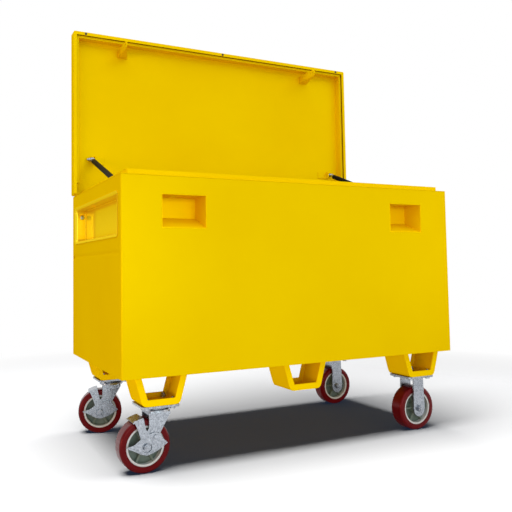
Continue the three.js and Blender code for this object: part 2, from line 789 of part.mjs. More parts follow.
// Fork below the swivel race, with the stud that the brake lever turns on
function swivelFork() {
  const side = swivelForkSide();
  const crown = block(-forkTopHalfWidth, forkTopHalfWidth, -forkOuter, forkOuter, crownBottom, crownPlateTop);
  const race = turned([[0, crownPlateTop - seam], [raceRadius, crownPlateTop - seam],
    [raceRadius - raceTaper / 2, crownTop], [0, crownTop]], sidesRace);
  const studX = leverPivotX - swivelLead;
  const studZ = leverPivotZ - axleDrop;
  const headY = -forkOuter - leverStandoff - leverPlate - seam;
  const fork = joined([
    crown, race,
    runAlongY(side, -forkOuter, -forkInner), runAlongY(side, forkInner, forkOuter),
    barAlongY(leverPivotRadius, headY - leverPivotHeadHeight / 2, -forkOuter + seam, studX, studZ, sidesSmall),
    barAlongY(leverPivotHeadRadius, headY - leverPivotHeadHeight, headY, studX, studZ, sidesMedium),
  ]);
  return geometryOf(fork
    .subtract(barAlongZ(kingpinRadius + kingpinClearance, crownBottom - overrun, crownTop + overrun, 0, 0,
      sidesMedium))
    .subtract(barAlongY(axleRadius + seam, -forkOuter - overrun, forkOuter + overrun, -swivelLead, -axleDrop,
      sidesMedium)));
}

// Fork of a caster that doesn't swivel: top plate and two straight sides with rounded ends
function rigidFork() {
  const half = rigidForkWidth / 2;
  const side = new THREE.Shape();
  side.moveTo(-half, -casterPlateThickness + seam);
  side.lineTo(-half, -axleDrop);
  side.absarc(0, -axleDrop, half, Math.PI, Math.PI * 2, false);
  side.lineTo(half, -casterPlateThickness + seam);
  const fork = joined([
    casterPlate(), runAlongY(side, -forkOuter, -forkInner), runAlongY(side, forkInner, forkOuter)]);
  return geometryOf(fork.subtract(barAlongY(axleRadius + seam, -forkOuter - overrun, forkOuter + overrun,
    0, -axleDrop, sidesMedium)));
}

// Axle bolt along Y with its head behind and its nut in front
function axle() {
  const face = forkOuter + seam;
  const hex = hexRadius(axleNutFlats);
  return geometryOf(joined([
    barAlongY(axleRadius, -face - axleNutHeight - axleTail, face + axleNutHeight / 2, 0, 0, sidesMedium),
    barAlongY(hex, -face - axleNutHeight, -face, 0, 0, 6),
    barAlongY(hex, face, face + axleNutHeight, 0, 0, 6),
  ]));
}

const hubOuter = wheelRadius - treadThickness;
const hubHalf = treadWidth / 2 - treadSideStep;

// Cast wheel centre: rim, web with lightening holes, ribs and boss
function hub() {
  const rimInner = hubOuter - hubRimThickness;
  const bossHalf = treadWidth / 2 + hubBossStandout;
  const ribHalf = hubHalf * (1 - hubRibStepShare);
  const rim = turnedAboutY([[rimInner, -hubHalf], [hubOuter, -hubHalf], [hubOuter, hubHalf],
    [rimInner, hubHalf], [rimInner, -hubHalf]], sidesWheel);
  const parts = [
    rim,
    barAlongY(rimInner + hubRimThickness / 2, -hubWeb / 2, hubWeb / 2, 0, 0, sidesWheel),
    barAlongY(hubBossRadius, -bossHalf, bossHalf, 0, 0, sidesMedium),
  ];
  for (let i = 0; i < hubRibs; i += 1) {
    const rib = new THREE.BoxGeometry(rimInner - hubBossRadius / 2, ribHalf * 2, hubRibThickness);
    rib.translate((rimInner + hubBossRadius) / 2, 0, 0).rotateY(i * 2 * Math.PI / hubRibs);
    parts.push(solidOf(rib));
  }
  const holes = [];
  const holeCircle = (rimInner + hubBossRadius) / 2;
  for (let i = 0; i < hubRibs; i += 1) {
    const turn = (i + 0.5) * 2 * Math.PI / hubRibs;
    holes.push(barAlongY(hubHoleRadius, -hubWeb, hubWeb, holeCircle * Math.cos(turn), holeCircle * Math.sin(turn),
      sidesHidden));
  }
  const bore = barAlongY(axleRadius + axleClearance, -bossHalf - overrun, bossHalf + overrun, 0, 0, sidesMedium);
  return geometryOf(joined(parts).subtract(joined(holes)).subtract(bore)).rotateY(Math.PI / sidesWheel);
}

// Moulded tread with eased shoulders: its facets touch the true circle, and one lies on the ground
function tread() {
  const inner = hubOuter + seam;
  const half = treadWidth / 2;
  const outer = wheelRadius / Math.cos(Math.PI / sidesWheel);
  const edge = outer - treadShoulder;
  const soft = treadShoulder * treadSoftShare;
  return geometryOf(turnedAboutY([
    [inner, -hubHalf], [edge, -half], [outer - soft, -half + treadShoulder], [outer, -half / 2],
    [outer, half / 2], [outer - soft, half - treadShoulder], [edge, half], [inner, hubHalf],
    [inner, -hubHalf],
  ], sidesWheel)).rotateY(Math.PI / sidesWheel);
}

// Lever outline about the axle, as shares of its half span and of its arm height
const leverOutlineShares = [
  [-1, 0.06], [-0.6, -0.08], [-0.28, -0.22], [0, -0.28], [0.28, -0.22], [0.6, -0.12], [1, 0.08],
  [0.72, 0.3], [0.6, 0.46], [0.36, 0.5], [0.12, 0.44], [-0.04, 0.62], [-0.16, 1.02], [-0.62, 0.96],
  [-0.42, 0.62], [-0.3, 0.3], [-0.6, 0.14],
];

// Brake lever beside the fork, with the shoe that reaches over the tread
function brakeLever() {
  const y1 = -forkOuter - leverStandoff;
  const y0 = y1 - leverPlate;
  const plate = outline(leverOutlineShares.map(([a, b]) => [a * leverHalfSpan, b * leverArmHeight]));
  const inner = wheelRadius + shoeClearance;
  const from = THREE.MathUtils.degToRad(shoeStartDegrees);
  const to = THREE.MathUtils.degToRad(shoeEndDegrees);
  const shoe = new THREE.Shape();
  shoe.absarc(0, 0, inner + shoeThickness, from, to, false);
  shoe.absarc(0, 0, inner, to, from, true);
  return geometryOf(runAlongY(plate, y0, y1)
    .add(runAlongY(shoe, y0, treadWidth / 2 - shoeShortOfEdge))
    .subtract(barAlongY(leverAxleHoleRadius, y0 - overrun, y1 + overrun, 0, 0, sidesMedium))
    .subtract(barAlongY(leverPivotRadius + leverPivotClearance, y0 - overrun, y1 + overrun,
      leverPivotX, leverPivotZ, sidesSmall)));
}

function addBody() {
  place(box, 'front_panel', frontPanel(), yellowPaint);
  place(box, 'rear_panel', rearPanel(), yellowPaint);
  place(box, 'left_side_panel', sidePanel(), yellowPaint);
  place(box, 'right_side_panel', mirrored(sidePanel()), yellowPaint);
  place(box, 'floor_panel', floorPanel(), yellowPaint);
  place(box, 'opening_rim', openingRim(), yellowPaint);
  place(box, 'left_lock_pocket', lockPocket(pocketCentres[0]), yellowPaint);
  place(box, 'right_lock_pocket', lockPocket(pocketCentres[1]), yellowPaint);
  place(box, 'left_handle_recess', handleRecess(), yellowPaint);
  place(box, 'right_handle_recess', mirrored(handleRecess()), yellowPaint);
  place(box, 'left_recess_bolt', recessBolt(), zincPlate);
  place(box, 'right_recess_bolt', mirrored(recessBolt()), zincPlate);
}

function addLegs() {
  const rows = ['front', 'rear'];
  const columns = ['left', 'middle', 'right'];
  rows.forEach((row, j) => columns.forEach((column, i) => {
    const mesh = place(box, `${row}_${column}_leg`, leg(column !== 'middle'), yellowPaint);
    mesh.position.set(legCentres[i], legRowY[j], casterHeight + seam);
    if (column === 'middle') mesh.position.z = casterHeight;
  }));
}

function addHinge(lid) {
  const leaf = place(box, 'hinge_body_leaf', hingeLeafPart(bodyLeafWidth, 0), yellowPaint);
  leaf.position.set(0, hingeY, hingeZ);
  leaf.rotation.x = -Math.PI / 2;
  leaf.scale.set(1, 1, -1);
  const pin = place(box, 'hinge_pin', hingePin(), zincPlate);
  pin.position.set(0, hingeY, hingeZ);
  place(lid, 'hinge_lid_leaf', hingeLeafPart(lidHeel - sheet - seam, 1), yellowPaint);
}

function addLid() {
  const lid = new THREE.Group();
  lid.position.set(0, hingeY, hingeZ);
  lid.rotation.x = -Math.PI / 2;
  place(lid, 'lid_pan', lidPan(), yellowPaint);
  place(lid, 'left_lock_tongue', lockTongue(pocketCentres[0]), yellowPaint);
  place(lid, 'right_lock_tongue', lockTongue(pocketCentres[1]), yellowPaint);
  place(lid, 'left_lid_bumper', lidBumper(-halfWidth + bumperFromSide), blackRubber);
  place(lid, 'middle_lid_bumper', lidBumper(0), blackRubber);
  place(lid, 'right_lid_bumper', lidBumper(halfWidth - bumperFromSide), blackRubber);
  place(lid, 'right_strut_upper_bracket', strutUpperBracket(), yellowPaint);
  place(lid, 'left_strut_upper_bracket', mirrored(strutUpperBracket()), yellowPaint);
  addHinge(lid);
  box.add(lid);
}

function addStrut(side, sign) {
  const bracket = strutLowerBracket();
  place(box, `${side}_strut_lower_bracket`, sign < 0 ? mirrored(bracket) : bracket, yellowPaint);
  const strut = new THREE.Group();
  strut.position.set(sign * strutX, strutLowerY, strutLowerZ);
  strut.rotation.x = strutSlope - Math.PI / 2;
  place(strut, `${side}_strut_rod`, strutRod(), zincPlate);
  place(strut, `${side}_strut_tube`, strutTube(), blackSteel).position.z = strutOpenLength;
  const bolt = strutBolt();
  place(strut, `${side}_strut_bolt`, sign < 0 ? mirrored(bolt) : bolt, zincPlate).position.z = strutOpenLength;
  box.add(strut);
}

function addWheel(group, name, x) {
  const drop = -axleDrop;
  place(group, `${name}_axle`, axle(), zincPlate).position.set(x, 0, drop);
  place(group, `${name}_hub`, hub(), castHub).position.set(x, 0, drop);
  place(group, `${name}_tread`, tread(), maroonTread).position.set(x, 0, drop);
}

function addSwivelCaster(name, x, y, turn) {
  const fixed = place(box, `${name}_caster_plate`, swivelPlate(), zincPlate);
  fixed.position.set(x, y, casterHeight);
  const swivel = new THREE.Group();
  swivel.position.set(x, y, casterHeight);
  swivel.rotation.z = THREE.MathUtils.degToRad(turn);
  place(swivel, `${name}_fork`, swivelFork(), zincPlate);
  place(swivel, `${name}_brake_lever`, brakeLever(), zincPlate).position.set(-swivelLead, 0, -axleDrop);
  addWheel(swivel, name, -swivelLead);
  box.add(swivel);
}

function addRigidCaster(name, x, y) {
  const caster = new THREE.Group();
  caster.position.set(x, y, casterHeight);
  place(caster, `${name}_fork`, rigidFork(), zincPlate);
  addWheel(caster, name, 0);
  box.add(caster);
}

addBody();
addLegs();
addLid();
addStrut('left', -1);
addStrut('right', 1);
addSwivelCaster('front_left', legCentres[0], legRowY[0], 0);
addSwivelCaster('rear_left', legCentres[0], legRowY[1], rearLeftSwivelTurn);
addRigidCaster('front_right', legCentres[2], legRowY[0]);
addRigidCaster('rear_right', legCentres[2], legRowY[1]);

export default box;
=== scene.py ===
import json
import math

import bpy
from mathutils import Matrix, Vector

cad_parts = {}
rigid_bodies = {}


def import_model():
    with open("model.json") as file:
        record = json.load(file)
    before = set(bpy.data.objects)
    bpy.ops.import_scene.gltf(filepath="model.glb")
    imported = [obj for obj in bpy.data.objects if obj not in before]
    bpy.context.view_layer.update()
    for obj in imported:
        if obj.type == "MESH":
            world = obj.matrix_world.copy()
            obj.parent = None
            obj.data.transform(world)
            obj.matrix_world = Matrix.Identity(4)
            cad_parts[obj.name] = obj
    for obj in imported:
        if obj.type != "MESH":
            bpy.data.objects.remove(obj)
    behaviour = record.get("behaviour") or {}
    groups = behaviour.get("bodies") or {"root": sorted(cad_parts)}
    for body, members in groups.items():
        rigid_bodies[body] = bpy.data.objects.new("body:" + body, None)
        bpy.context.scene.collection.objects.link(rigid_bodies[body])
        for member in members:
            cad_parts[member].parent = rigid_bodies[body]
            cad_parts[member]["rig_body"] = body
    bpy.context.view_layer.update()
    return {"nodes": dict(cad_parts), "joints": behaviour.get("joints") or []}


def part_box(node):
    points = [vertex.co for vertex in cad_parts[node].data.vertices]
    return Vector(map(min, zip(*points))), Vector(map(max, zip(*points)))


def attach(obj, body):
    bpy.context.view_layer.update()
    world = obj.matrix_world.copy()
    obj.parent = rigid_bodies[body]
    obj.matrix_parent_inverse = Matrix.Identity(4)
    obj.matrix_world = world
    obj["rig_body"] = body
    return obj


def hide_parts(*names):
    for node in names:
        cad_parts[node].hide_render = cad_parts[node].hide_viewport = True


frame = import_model()

# Front, rear and side sheets with the floor: 2 mm mild steel, folded round the corners and spot welded.
# The whole shell is sprayed in one glossy safety-yellow powder coat with a faint orange peel, and its yellow turns
# orange in creases and corners as painted shade.
# Cut and folded edges are eased, where the coat pulls back and catches the light.


class Wire:
    """An output socket of a node, so that shader maths reads as plain sums."""

    def __init__(self, nodes, socket):
        self.nodes = nodes
        self.socket = socket

    def math(self, operation, other):
        return self.nodes.node("ShaderNodeMath", {"operation": operation}, {0: self, 1: other})

    def __add__(self, other):
        return self.math("ADD", other)

    __radd__ = __add__

    def __mul__(self, other):
        return self.math("MULTIPLY", other)


class Nodes:
    """A node tree that grows by one method, whose inputs take wires or plain values."""

    def __init__(self, tree):
        self.tree = tree

    def node(self, kind, settings=None, inputs=None, output=0):
        made = self.tree.nodes.new(kind)
        for key, value in (settings or {}).items():
            setattr(made, key, value)
        for key, value in (inputs or {}).items():
            if isinstance(value, Wire):
                self.tree.links.new(value.socket, made.inputs[key])
            else:
                made.inputs[key].default_value = value
        return Wire(self, made.outputs[output])

    def ray(self, kind):
        return self.node("ShaderNodeLightPath", output=f"Is {kind} Ray")

    def mix_shaders(self, factor, first, second):
        return self.node("ShaderNodeMixShader", {}, {0: factor, 1: first, 2: second})

    def show(self, wire, output):
        """Makes a shader the surface that the tree puts out."""
        self.tree.links.new(wire.socket, self.tree.nodes[output].inputs["Surface"])


class Finish(Nodes):
    """A material built round its own principled shader, with patterns on object coordinates."""

    def __init__(self, name, metallic=0.0, **constants):
        self.material = bpy.data.materials.new(name)
        self.material.use_nodes = True
        super().__init__(self.material.node_tree)
        self.shader = self.tree.nodes["Principled BSDF"]
        self.shader.inputs["Metallic"].default_value = metallic
        for socket, value in constants.items():
            self.shader.inputs[socket.replace("_", " ")].default_value = value
        self.place = self.node("ShaderNodeTexCoord", output="Object")

    def noise(self, scale, detail=2.0):
        return self.node("ShaderNodeTexNoise", {}, {"Vector": self.place, "Scale": scale, "Detail": detail}, "Fac")

    def mix(self, factor, first, second):
        return self.node("ShaderNodeMix", {"data_type": "RGBA"}, {0: factor, 6: first, 7: second}, 2)

    def ramp(self, value, low, high):
        made = self.node("ShaderNodeValToRGB", {}, {"Fac": value})
        black, white = made.socket.node.color_ramp.elements
        black.position, white.position = low, high
        return made

    def hollow(self, reach):
        """How open the surface is round a point, which falls towards 0 in creases and corners."""
        return self.node("ShaderNodeAmbientOcclusion", {"samples": 12}, {"Distance": reach}, "AO")

    def bump(self, height, strength, distance):
        normal = self.node("ShaderNodeBump", {}, {"Height": height, "Strength": strength, "Distance": distance})
        self.feed("Normal", normal)

    def feed(self, socket, wire):
        self.tree.links.new(wire.socket, self.shader.inputs[socket])


safety_yellow = (0.88, 0.65, 0.0, 1)
deep_yellow = (0.85, 0.61, 0.0, 1)
# Painted shade: this orange stands for the shade that falls in creases and corners.
painted_crease_shade = (0.79, 0.49, 0.0, 1)
powder_coat = Finish("yellow_powder_coat", metallic=0.14, Specular_IOR_Level=0.0,
                     Specular_Tint=(1.0, 0.72, 0.02, 1))
cloud = powder_coat.ramp(powder_coat.noise(2.5, 3.0), 0.35, 0.65)
sprayed = powder_coat.mix(cloud, safety_yellow, deep_yellow)
# Painted shade: the coat is mixed towards the crease orange wherever ambient occlusion finds the surface closed
# in.
painted_shade_openness = powder_coat.ramp(powder_coat.hollow(0.12), 0.05, 0.75)
powder_coat.feed("Base Color", powder_coat.mix(painted_shade_openness, painted_crease_shade, sprayed))
powder_coat.feed("Roughness", 0.27 + powder_coat.noise(35.0) * 0.09)
powder_coat.bump(powder_coat.noise(330.0, 1.0), 0.12, 0.0006)


def deselect():
    if bpy.context.mode != "OBJECT":
        bpy.ops.object.mode_set(mode="OBJECT")
    bpy.ops.object.select_all(action="DESELECT")


def pick(piece):
    deselect()
    piece.select_set(True)
    bpy.context.view_layer.objects.active = piece


hair = 0.00005  # far less than any sheet is thick
doubles = 0.00001


def choose(piece, kind, test):
    """Edit mode with only the corners, edges or faces that pass the test selected."""
    pick(piece)
    bpy.ops.object.mode_set(mode="EDIT")
    bpy.ops.mesh.select_mode(type=kind)
    bpy.ops.mesh.select_all(action="DESELECT")
    bpy.ops.object.mode_set(mode="OBJECT")
    mesh = piece.data
    if kind == "VERT":
        for corner in mesh.vertices:
            corner.select = test(corner.co, corner.normal)
    elif kind == "EDGE":
        for edge in mesh.edges:
            start, end = (mesh.vertices[index].co for index in edge.vertices)
            edge.select = test((start + end) / 2, end - start)
    else:
        for face in mesh.polygons:
            face.select = test(face.center, face.normal)
    bpy.ops.object.mode_set(mode="EDIT")


def settle(piece):
    """Back to object mode with the piece's doubles merged and its faces pointing outwards."""
    choose(piece, "VERT", lambda spot, facing: True)
    bpy.ops.mesh.remove_doubles(threshold=doubles)
    bpy.ops.mesh.normals_make_consistent(inside=False)
    bpy.ops.object.mode_set(mode="OBJECT")


def modify(piece, kind, **settings):
    pick(piece)
    bpy.ops.object.modifier_add(type=kind)
    modifier = piece.modifiers[-1]
    for key, value in settings.items():
        setattr(modifier, key, value)
    bpy.ops.object.modifier_apply(modifier=modifier.name)


def ease_edges(piece, width, segments=2, sharper_than=52):
    modify(piece, "BEVEL", width=width, segments=segments, limit_method="ANGLE",
           angle_limit=math.radians(sharper_than))


def finish_mesh(piece, finish, smooth_angle=50):
    pick(piece)
    bpy.ops.object.transform_apply(location=True, rotation=True, scale=True)
    bpy.ops.object.shade_smooth_by_angle(angle=math.radians(smooth_angle))
    modify(piece, "WEIGHTED_NORMAL", keep_sharp=True)
    piece.data.materials.clear()
    piece.data.materials.append(finish.material)


def place_in_part(piece, body, node):
    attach(piece, body)
    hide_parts(node)


def formed(node, finish, edge=0.0006, shape=None):
    """The folded or machined form of a CAD node, shaped further if asked, with its cut edges eased."""
    source = frame["nodes"][node]
    piece = bpy.data.objects.new(node + "_formed", source.data.copy())
    bpy.context.scene.collection.objects.link(piece)
    pick(piece)
    bpy.ops.mesh.customdata_custom_splitnormals_clear()
    bpy.ops.object.mode_set(mode="EDIT")
    bpy.ops.mesh.select_all(action="SELECT")
    bpy.ops.mesh.remove_doubles(threshold=doubles * 2)
    bpy.ops.mesh.dissolve_limited(angle_limit=math.radians(0.4))
    bpy.ops.mesh.faces_shade_flat()
    bpy.ops.object.mode_set(mode="OBJECT")
    if shape:
        shape(piece)
        bpy.ops.object.mode_set(mode="OBJECT")
    ease_edges(piece, edge)
    finish_mesh(piece, finish)
    place_in_part(piece, source["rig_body"], node)


sheet = 0.002
recess_roll, recess_land, recess_corner = 0.008, 0.001, 0.012
recess_front_step = 0.016
window_slack = 0.001


def open_window(panel, side):
    """Grows a side panel's window for the rolled mouth of its recess, and moves its front end back."""
    low, high = (Vector(corner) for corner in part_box(f"{side}_handle_recess"))

    def on_window(spot):
        return (low.y - window_slack < spot.y < high.y + window_slack
                and low.z - window_slack < spot.z < high.z + window_slack)

    front_end = low.y + recess_corner + sheet + window_slack * 2
    choose(panel, "VERT", lambda spot, facing: on_window(spot) and spot.y < front_end)
    bpy.ops.transform.translate(value=(0, recess_front_step, 0))
    choose(panel, "VERT", lambda spot, facing: on_window(spot))
    low.y += recess_front_step
    size = high - low
    growth = 2 * (recess_roll + recess_land - sheet)
    bpy.ops.transform.resize(value=(1, 1 + growth / size.y, 1 + growth / size.z), center_override=(low + high) / 2)


for panel in ("front_panel", "rear_panel", "floor_panel"):
    formed(panel, powder_coat)
for side in ("left", "right"):
    formed(f"{side}_side_panel", powder_coat, shape=lambda panel: open_window(panel, side))

# Opening rim: a folded frame with a flat shoulder and a raised inner lip that keeps rain out.
# It is the same sheet, mitred and welded at its corners, and the shell hangs from it.
formed("opening_rim", powder_coat)

# Lock pockets: two pans of the same sheet, welded in behind their windows below the rim.
# Each is open to the front and has a high floor and a lower trough, so a hand can reach up to the padlock.
for pan in ("left_lock_pocket", "right_lock_pocket"):
    formed(pan, powder_coat)

# Handle recesses: long pressed pans in the sides, to lift the box by, with a mouth rolled over all round.
# They are drawn from the same sheet, welded into the side windows and painted with the shell; their yellow is made
# lighter than the shell's as painted light, and turns orange in their corners and bends as painted shade.
# Each has one round-headed zinc bolt with its washer in the rear end wall.
bright_zinc = Finish("bright_zinc_plate", metallic=0.95)
spangle = bright_zinc.ramp(bright_zinc.noise(230.0, 3.0), 0.3, 0.7)
bright_zinc.feed("Base Color", bright_zinc.mix(spangle, (0.21, 0.23, 0.26, 1), (0.42, 0.45, 0.50, 1)))
bright_zinc.feed("Roughness", 0.16 + spangle * 0.2)
bright_zinc.bump(bright_zinc.noise(140.0), 0.25, 0.0004)
pan_coat = Finish("yellow_pan_coat", metallic=0.4, Specular_IOR_Level=0.0, Specular_Tint=(1.0, 0.8, 0.1, 1))
# Painted light and shade: the pan's open yellow is painted lighter than the shell's, and ambient occlusion turns
# its corners and bends to the crease orange.
painted_pan_shade_openness = pan_coat.ramp(pan_coat.hollow(0.03), 0.2, 0.9)
pan_coat.feed("Base Color", pan_coat.mix(painted_pan_shade_openness, painted_crease_shade, (0.9, 0.72, 0.03, 1)))
pan_coat.feed("Roughness", 0.06 + pan_coat.noise(35.0) * 0.05)
back_bend, corner_steps, bend_steps, roll_steps = 0.004, 8, 4, 6
bolt_radius, bolt_height, washer_radius, washer_height = 0.0075, 0.004, 0.0105, 0.0012


def pressed_recess(side, outward):
    """A box open at its mouth, with round corners and bends, whose mouth flares into a rolled edge."""
    low, high = (Vector(corner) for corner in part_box(f"{side}_handle_recess"))
    low += Vector((0, sheet + recess_front_step, sheet))
    high -= Vector((0, sheet, sheet))
    mouth, back = (high.x, low.x + sheet) if outward > 0 else (low.x, high.x - sheet)
    centre = Vector(((mouth + back) / 2, (low.y + high.y) / 2, (low.z + high.z) / 2))
    size = high - low
    deselect()
    bpy.ops.mesh.primitive_cube_add(size=1, location=centre)
    pan = bpy.context.object
    pan.name = f"{side}_pressed_recess"
    pan.scale = (abs(mouth - back), size.y, size.z)
    bpy.ops.object.transform_apply(location=True, rotation=True, scale=True)
    choose(pan, "EDGE", lambda spot, along: abs(along.x) > hair)
    bpy.ops.mesh.bevel(offset=recess_corner, segments=corner_steps)
    choose(pan, "EDGE", lambda spot, along: abs(spot.x - back) < hair)
    bpy.ops.mesh.bevel(offset=back_bend, segments=bend_steps)
    choose(pan, "FACE", lambda spot, facing: abs(spot.x - mouth) < hair)
    bpy.ops.mesh.delete(type="FACE")
    choose(pan, "EDGE", lambda spot, along: abs(spot.x - mouth) < hair)
    bpy.ops.mesh.extrude_region_move()
    growth = 2 * (recess_roll + recess_land) - hair * 8
    bpy.ops.transform.resize(value=(1, 1 + growth / size.y, 1 + growth / size.z), center_override=centre)
    choose(pan, "EDGE", lambda spot, along: abs(spot.x - mouth) < hair
           and abs(spot.y - centre.y) < size.y / 2 + hair and abs(spot.z - centre.z) < size.z / 2 + hair)
    bpy.ops.mesh.bevel(offset=recess_roll, segments=roll_steps)
    settle(pan)
    modify(pan, "SOLIDIFY", thickness=sheet, offset=1)
    settle(pan)
    finish_mesh(pan, pan_coat)
    place_in_part(pan, "box", f"{side}_handle_recess")


def round_bolt(side):
    """A washer against the end wall with a domed head on it."""
    low, high = (Vector(corner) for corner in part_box(f"{side}_recess_bolt"))
    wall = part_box(f"{side}_handle_recess")[1][1] - sheet
    middle = (low + high) / 2
    deselect()
    bpy.ops.mesh.primitive_cylinder_add(vertices=32, radius=washer_radius, depth=washer_height,
                                        rotation=(math.pi / 2, 0, 0),
                                        location=(middle.x, wall - washer_height / 2, middle.z))
    bolt = bpy.context.object
    bolt.name = f"{side}_round_bolt"
    bpy.ops.object.transform_apply(location=True, rotation=True, scale=True)
    choose(bolt, "FACE", lambda spot, facing: facing.y < -0.9)
    bpy.ops.mesh.inset(thickness=washer_radius - bolt_radius)
    bpy.ops.mesh.extrude_region_move(TRANSFORM_OT_translate={"value": (0, -bolt_height, 0)})
    bpy.ops.mesh.bevel(offset=bolt_height * 0.8, segments=5)
    bpy.ops.object.mode_set(mode="OBJECT")
    finish_mesh(bolt, bright_zinc)
    place_in_part(bolt, "box", f"{side}_recess_bolt")


for side, outward in (("left", -1), ("right", 1)):
    pressed_recess(side, outward)
    round_bolt(side)

# Legs: six trestles bent from 5 mm plate, with flanges turned in front and rear and a flat foot below.
# They are welded under the floor and painted with the shell, and a caster bolts to each corner foot.
for row in ("front", "rear"):
    for column in ("left", "middle", "right"):
        formed(f"{row}_{column}_leg", powder_coat, edge=0.0009)

# Piano hinge along the rear lip: two leaves of thin steel strip, rolled into knuckles that take turns.
# One leaf is welded to the box and one to the lid, both are painted over, and one bare pin joins them.
for leaf in ("hinge_body_leaf", "hinge_lid_leaf"):
    formed(leaf, powder_coat, edge=0.0003)
formed("hinge_pin", bright_zinc, edge=0.0003)

# Lid: a shallow pan of the same sheet, folded down all round and turned in again at the lip.
# Two locking tongues of bent plate are welded inside it and painted with it, one over each lock pocket.
# The struts' brackets, above in the lid and below in the box, are plates welded on and painted the same way.
formed("lid_pan", powder_coat)
for part in ("lock_tongue", "strut_upper_bracket", "strut_lower_bracket"):
    for side in ("left", "right"):
        formed(f"{side}_{part}", powder_coat)

# Lid stiffener: a channel bent from the same sheet, welded behind the turned-in lips and to the skin.
# It runs along the front and both sides of the lid, with a shallow groove beside the lip, and stops short
# of the hinge.


def joint_named(name):
    return next(joint for joint in frame["joints"] if joint["name"] == name)


lid_lip, channel_gap, channel_groove = 0.012, 0.009, 0.008
channel_foot, channel_end, channel_sheet = 0.010, 0.030, 0.0015
lid_low, lid_high = (Vector(corner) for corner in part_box("lid_pan"))
hinge_line = Vector(joint_named("lid_hinge")["pos_m"])
channel_reach, channel_top = lid_high.x - lid_lip - channel_gap, lid_high.z - lid_lip - channel_gap
channel_bottom = hinge_line.z + channel_end
groove_face, skin_face = lid_low.y + sheet / 2 + channel_groove, lid_high.y - sheet - hair
outer_reach, outer_top = channel_reach + channel_gap, channel_top + channel_gap
deselect()
bpy.ops.mesh.primitive_plane_add(size=1, rotation=(math.pi / 2, 0, 0),
                                 location=(0, groove_face, (outer_top + channel_bottom) / 2))
channel = bpy.context.object
channel.name = "lid_channel"
channel.scale = (outer_reach * 2, outer_top - channel_bottom, 1)
bpy.ops.object.transform_apply(location=True, rotation=True, scale=True)
choose(channel, "FACE", lambda spot, facing: True)
bpy.ops.mesh.delete(type="ONLY_FACE")
choose(channel, "EDGE", lambda spot, along: spot.z < channel_bottom + hair)
bpy.ops.mesh.delete(type="EDGE")
choose(channel, "EDGE", lambda spot, along: True)
bpy.ops.mesh.extrude_region_move()
channel_height = channel_top - channel_bottom
groove_shares = (channel_reach / outer_reach, 1, channel_height / (outer_top - channel_bottom))
bpy.ops.transform.resize(value=groove_shares, center_override=(0, groove_face, channel_bottom))
bpy.ops.mesh.extrude_region_move(TRANSFORM_OT_translate={"value": (0, skin_face - groove_face, 0)})
bpy.ops.mesh.extrude_region_move()
foot_shares = (1 - channel_foot / channel_reach, 1, 1 - channel_foot / channel_height)
bpy.ops.transform.resize(value=foot_shares, center_override=(0, skin_face, channel_bottom))
settle(channel)
modify(channel, "SOLIDIFY", thickness=channel_sheet, offset=0)
settle(channel)
ease_edges(channel, 0.0006)
finish_mesh(channel, powder_coat)
place_in_part(channel, "lid", "lid_pan")

# Bumpers: three domes of black moulded rubber that soften the slam of the lid.
# Each is pushed into a punched hole in the front lip and keeps its matt moulded skin.
rubber = Finish("black_rubber", Roughness=0.7)
rubber.feed("Base Color", rubber.mix(rubber.noise(200.0), (0.012, 0.012, 0.013, 1), (0.03, 0.03, 0.03, 1)))
for column in ("left", "middle", "right"):
    formed(f"{column}_lid_bumper", rubber, edge=0.0002)

# Gas struts: a black enamelled cylinder with its ends rolled in, and a ground and plated rod that runs into it.
# Each ends in a plated eye, which turns on a shouldered bolt in a bracket on the lid or the box.
gloss_black = Finish("gloss_black_enamel", Specular_IOR_Level=0.02)
gloss_black.feed("Base Color", gloss_black.mix(gloss_black.noise(60.0), (0.006, 0.006, 0.007, 1),
                                               (0.014, 0.014, 0.015, 1)))
gloss_black.feed("Roughness", 0.34 + gloss_black.noise(90.0) * 0.12)
tube_radius, tube_roll, tube_from, tube_to = 0.0095, 0.003, 0.029, 0.300
gland_radius, gland_depth, gland_rim = 0.0062, 0.002, 0.001
eye_radius, eye_thickness, eye_edge = 0.009, 0.012, 0.0012
neck_radius, neck_start = 0.006, 0.002


def along_strut(piece, side):
    """Moves a strut piece, modelled hanging below the origin, on to the strut's upper pin and its slope."""
    pin_low, pin_high = (Vector(corner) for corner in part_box(f"{side}_strut_bolt"))
    pin = (pin_low + pin_high) / 2
    tube_low, tube_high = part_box(f"{side}_strut_tube")
    pin.x = (tube_low[0] + tube_high[0]) / 2
    slope = Vector(joint_named(f"{side}_strut_slide")["axis"])
    turn = Vector((0, 0, 1)).rotation_difference(slope)
    piece.matrix_world = Matrix.Translation(pin) @ turn.to_matrix().to_4x4()
    bpy.ops.object.transform_apply(location=True, rotation=True, scale=True)
    place_in_part(piece, f"{side}_strut_cylinder", f"{side}_strut_tube")


